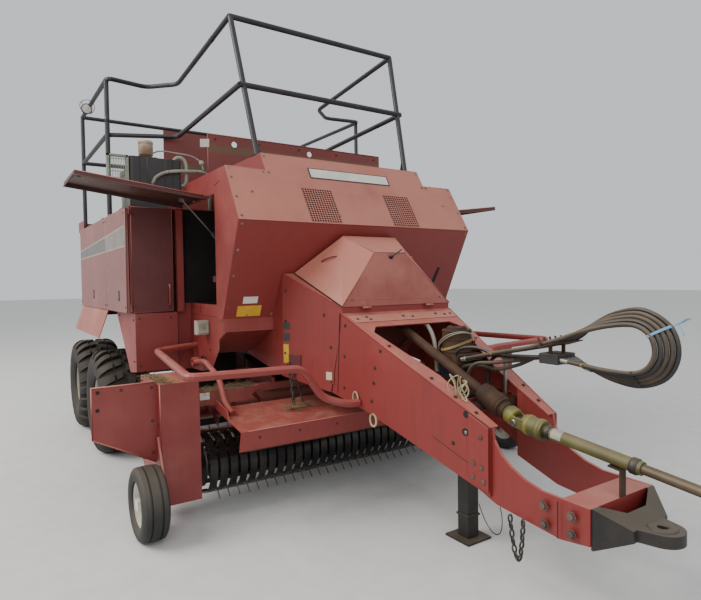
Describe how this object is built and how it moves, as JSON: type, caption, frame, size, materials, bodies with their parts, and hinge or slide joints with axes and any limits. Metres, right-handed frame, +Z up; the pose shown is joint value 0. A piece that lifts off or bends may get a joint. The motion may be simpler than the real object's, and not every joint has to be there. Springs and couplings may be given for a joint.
{
  "type": "square baler",
  "caption": "Towed large square baler with tandem wheels, tined pickup, tapering tongue, railed service deck, open service lids and rear bale chute.",
  "frame": {"origin": "on the ground, midway along and across the parked machine", "axes": "+X the way it is pulled, +Y its left side, +Z up"},
  "size_m": [7.88, 3.5734, 3.38],
  "materials": {
    "red_paint": "faded gloss paint, dusty",
    "tongue_paint": "gloss paint with scuffs",
    "dark_paint": "semi-gloss paint, shaded inner faces",
    "rail_paint": "satin black paint on tube",
    "cast_black": "rough casting, worn paint",
    "black_sheet": "matt black",
    "grey_steel": "dull steel with grease",
    "shaft_guard": "faded plastic guard",
    "shaft_brown": "rusty painted steel",
    "rim_paint": "pale grey enamel, dusty",
    "rim_white": "off-white enamel, scuffed",
    "tyre_rubber": "dusty black rubber",
    "hose_rubber": "oily, dusty black rubber",
    "lamp_white": "weathered plastic"
  },
  "bodies": {
    "chassis": {"frame": "dark_paint", "chamber": "red_paint", "tension_rails": "red_paint", "tongue": "tongue_paint", "hitch": "cast_black", "jack": "cast_black", "brackets": "grey_steel", "hood": "red_paint", "gearbox": "dark_paint", "drive_shaft": "grey_steel", "twine_box_r": "red_paint", "twine_box_l": "red_paint", "walking_beams": "dark_paint", "feeder": "dark_paint", "guard_rails": "red_paint", "handrails": "rail_paint", "deck": "dark_paint", "knotters": "grey_steel", "cooler": "black_sheet", "lamps": "lamp_white", "canister": "shaft_brown", "hose_1": "hose_rubber", "hose_2": "hose_rubber", "hose_3": "hose_rubber", "hose_4": "hose_rubber", "hose_5": "hose_rubber"},
    "flywheel": {"flywheel": "dark_paint"},
    "flywheel_cover": {"flywheel_cover": "red_paint"},
    "pto_tube": {"pto_tube": "shaft_guard"},
    "pto_tip": {"pto_tip": "shaft_brown"},
    "pickup": {"pickup_frame": "red_paint", "stripper_bands": "black_sheet"},
    "reel": {"tine_reel": "grey_steel"},
    "auger": {"auger": "red_paint"},
    "windguard": {"windguard": "red_paint"},
    "bale_chute": {"bale_chute": "red_paint"},
    "wheel_rf": {"tyre_rf": "tyre_rubber", "rim_rf": "rim_paint"},
    "wheel_rr": {"tyre_rr": "tyre_rubber", "rim_rr": "rim_paint"},
    "wheel_lf": {"tyre_lf": "tyre_rubber", "rim_lf": "rim_paint"},
    "wheel_lr": {"tyre_lr": "tyre_rubber", "rim_lr": "rim_paint"},
    "gauge_r": {"gauge_tyre_r": "tyre_rubber", "gauge_rim_r": "rim_white"},
    "gauge_l": {"gauge_tyre_l": "tyre_rubber", "gauge_rim_l": "rim_white"},
    "lid_r": {"lid_r": "dark_paint"},
    "strut_tube_r": {"strut_tube_r": "black_sheet"},
    "strut_rod_r": {"strut_rod_r": "grey_steel"},
    "door_r": {"box_door_r": "dark_paint"},
    "panel_rf": {"panel_rf": "red_paint"},
    "panel_rr": {"panel_rr": "red_paint"},
    "lid_l": {"lid_l": "dark_paint"},
    "strut_tube_l": {"strut_tube_l": "black_sheet"},
    "strut_rod_l": {"strut_rod_l": "grey_steel"},
    "door_l": {"box_door_l": "dark_paint"},
    "panel_lf": {"panel_lf": "red_paint"},
    "panel_lr": {"panel_lr": "red_paint"}
  },
  "joints": [
    {"name": "wheel_rf_spin", "type": "hinge", "parent": "chassis", "child": "wheel_rf", "pos_m": [-0.6, -1.275, 0.445], "axis": [0, 1, 0], "continuous": true},
    {"name": "wheel_rr_spin", "type": "hinge", "parent": "chassis", "child": "wheel_rr", "pos_m": [-1.7, -1.275, 0.445], "axis": [0, 1, 0], "continuous": true},
    {"name": "wheel_lf_spin", "type": "hinge", "parent": "chassis", "child": "wheel_lf", "pos_m": [-0.6, 1.275, 0.445], "axis": [0, 1, 0], "continuous": true},
    {"name": "wheel_lr_spin", "type": "hinge", "parent": "chassis", "child": "wheel_lr", "pos_m": [-1.7, 1.275, 0.445], "axis": [0, 1, 0], "continuous": true},
    {"name": "pickup_lift", "type": "hinge", "parent": "chassis", "child": "pickup", "pos_m": [0.31, 0, 0.7], "axis": [0, -1, 0], "range_deg": [0, 5]},
    {"name": "gauge_r_spin", "type": "hinge", "parent": "pickup", "child": "gauge_r", "pos_m": [1.36, -1.5, 0.21], "axis": [0, 1, 0], "continuous": true},
    {"name": "gauge_l_spin", "type": "hinge", "parent": "pickup", "child": "gauge_l", "pos_m": [1.36, 1.5, 0.21], "axis": [0, 1, 0], "continuous": true},
    {"name": "reel_spin", "type": "hinge", "parent": "pickup", "child": "reel", "pos_m": [1.115, 0, 0.3], "axis": [0, 1, 0], "continuous": true},
    {"name": "auger_spin", "type": "hinge", "parent": "pickup", "child": "auger", "pos_m": [0.69, 0, 0.56], "axis": [0, 1, 0], "continuous": true},
    {"name": "windguard_lift", "type": "hinge", "parent": "chassis", "child": "windguard", "pos_m": [0.7, 0, 0.9], "axis": [0, -1, 0], "range_deg": [0, 9]},
    {"name": "flywheel_spin", "type": "hinge", "parent": "chassis", "child": "flywheel", "pos_m": [1.56, 0, 1.22], "axis": [1, 0, 0], "continuous": true},
    {"name": "cover_tip", "type": "hinge", "parent": "chassis", "child": "flywheel_cover", "pos_m": [1.794, 0, 1.29], "axis": [0, 1, 0], "range_deg": [0, 60]},
    {"name": "pto_lift", "type": "hinge", "parent": "chassis", "child": "pto_tube", "pos_m": [2.75, 0, 0.735], "axis": [0, -1, 0], "range_deg": [0, 20]},
    {"name": "pto_slide", "type": "slide", "parent": "pto_tube", "child": "pto_tip", "axis": [0.9936, 0, -0.1132], "range_m": [-0.05, 0.25]},
    {"name": "lid_r_close", "type": "hinge", "parent": "chassis", "child": "lid_r", "pos_m": [1.46, -0.99, 2.03], "axis": [1, 0, 0], "range_deg": [0, 97]},
    {"name": "strut_r_turn", "type": "hinge", "parent": "chassis", "child": "strut_tube_r", "pos_m": [0.96, -0.72, 1.55], "axis": [1, 0, 0], "range_deg": [-9, 0]},
    {"name": "strut_r_slide", "type": "slide", "parent": "strut_tube_r", "child": "strut_rod_r", "axis": [0, -0.6832, 0.7303], "range_m": [-0.235, 0]},
    {"name": "door_r_open", "type": "hinge", "parent": "chassis", "child": "door_r", "pos_m": [0.474, -1.37, 1.628], "axis": [0, 0, -1], "range_deg": [0, 110]},
    {"name": "panel_rf_lift", "type": "hinge", "parent": "chassis", "child": "panel_rf", "pos_m": [0.08, -1.386, 2.003], "axis": [-1, 0, 0], "range_deg": [0, 95]},
    {"name": "panel_rr_lift", "type": "hinge", "parent": "chassis", "child": "panel_rr", "pos_m": [-0.93, -1.386, 2.003], "axis": [-1, 0, 0], "range_deg": [0, 95]},
    {"name": "lid_l_close", "type": "hinge", "parent": "chassis", "child": "lid_l", "pos_m": [1.46, 0.99, 2.03], "axis": [-1, 0, 0], "range_deg": [0, 97]},
    {"name": "strut_l_turn", "type": "hinge", "parent": "chassis", "child": "strut_tube_l", "pos_m": [0.96, 0.72, 1.55], "axis": [-1, 0, 0], "range_deg": [-9, 0]},
    {"name": "strut_l_slide", "type": "slide", "parent": "strut_tube_l", "child": "strut_rod_l", "axis": [0, 0.6832, 0.7303], "range_m": [-0.235, 0]},
    {"name": "door_l_open", "type": "hinge", "parent": "chassis", "child": "door_l", "pos_m": [0.474, 1.37, 1.628], "axis": [0, 0, 1], "range_deg": [0, 110]},
    {"name": "panel_lf_lift", "type": "hinge", "parent": "chassis", "child": "panel_lf", "pos_m": [0.08, 1.386, 2.003], "axis": [1, 0, 0], "range_deg": [0, 95]},
    {"name": "panel_lr_lift", "type": "hinge", "parent": "chassis", "child": "panel_lr", "pos_m": [-0.93, 1.386, 2.003], "axis": [1, 0, 0], "range_deg": [0, 95]},
    {"name": "chute_fold", "type": "hinge", "parent": "chassis", "child": "bale_chute", "pos_m": [-3.2, 0, 1.05], "axis": [0, 1, 0], "range_deg": [0, 90]}
  ],
  "couplings": [
    {"joint": "strut_r_turn", "follows": "lid_r_close", "ratio": -0.090774},
    {"joint": "strut_r_slide", "follows": "lid_r_close", "m_per_rad": -0.13099},
    {"joint": "strut_l_turn", "follows": "lid_l_close", "ratio": -0.090774},
    {"joint": "strut_l_slide", "follows": "lid_l_close", "m_per_rad": -0.13099}
  ]
}
